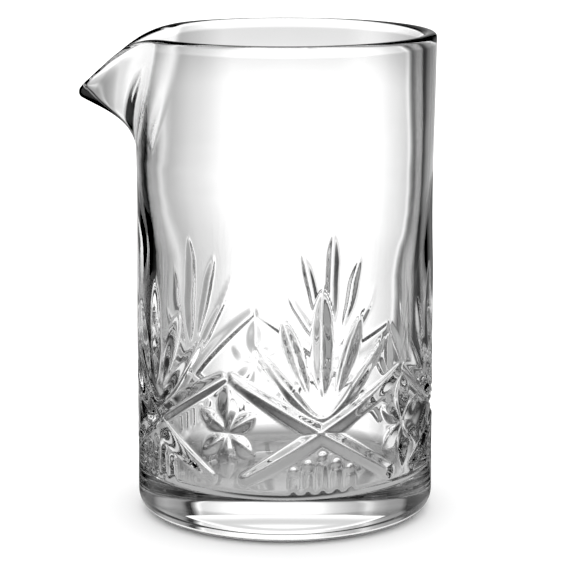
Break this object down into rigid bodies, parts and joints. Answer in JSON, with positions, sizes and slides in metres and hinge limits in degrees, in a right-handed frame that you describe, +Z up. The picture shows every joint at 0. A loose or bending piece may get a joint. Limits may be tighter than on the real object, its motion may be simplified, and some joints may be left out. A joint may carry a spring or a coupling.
{
  "type": "mixing glass",
  "caption": "Straight-sided clear glass mixing vessel with a heavy foot, a pouring beak at the rim and a pressed band of fans, crossed mitres and stars round its lower half.",
  "frame": {"origin": "on the vessel's axis at the plane of the ring it stands on", "axes": "+Z up along the vessel's axis, -X along the pouring beak, +Y to the right of someone who looks along +X"},
  "size_m": [0.1077, 0.0906, 0.146],
  "materials": {
    "clear_glass": "clear soda-lime glass, fire-polished"
  },
  "bodies": {
    "root": {"glass_vessel": "clear_glass"}
  },
  "joints": []
}
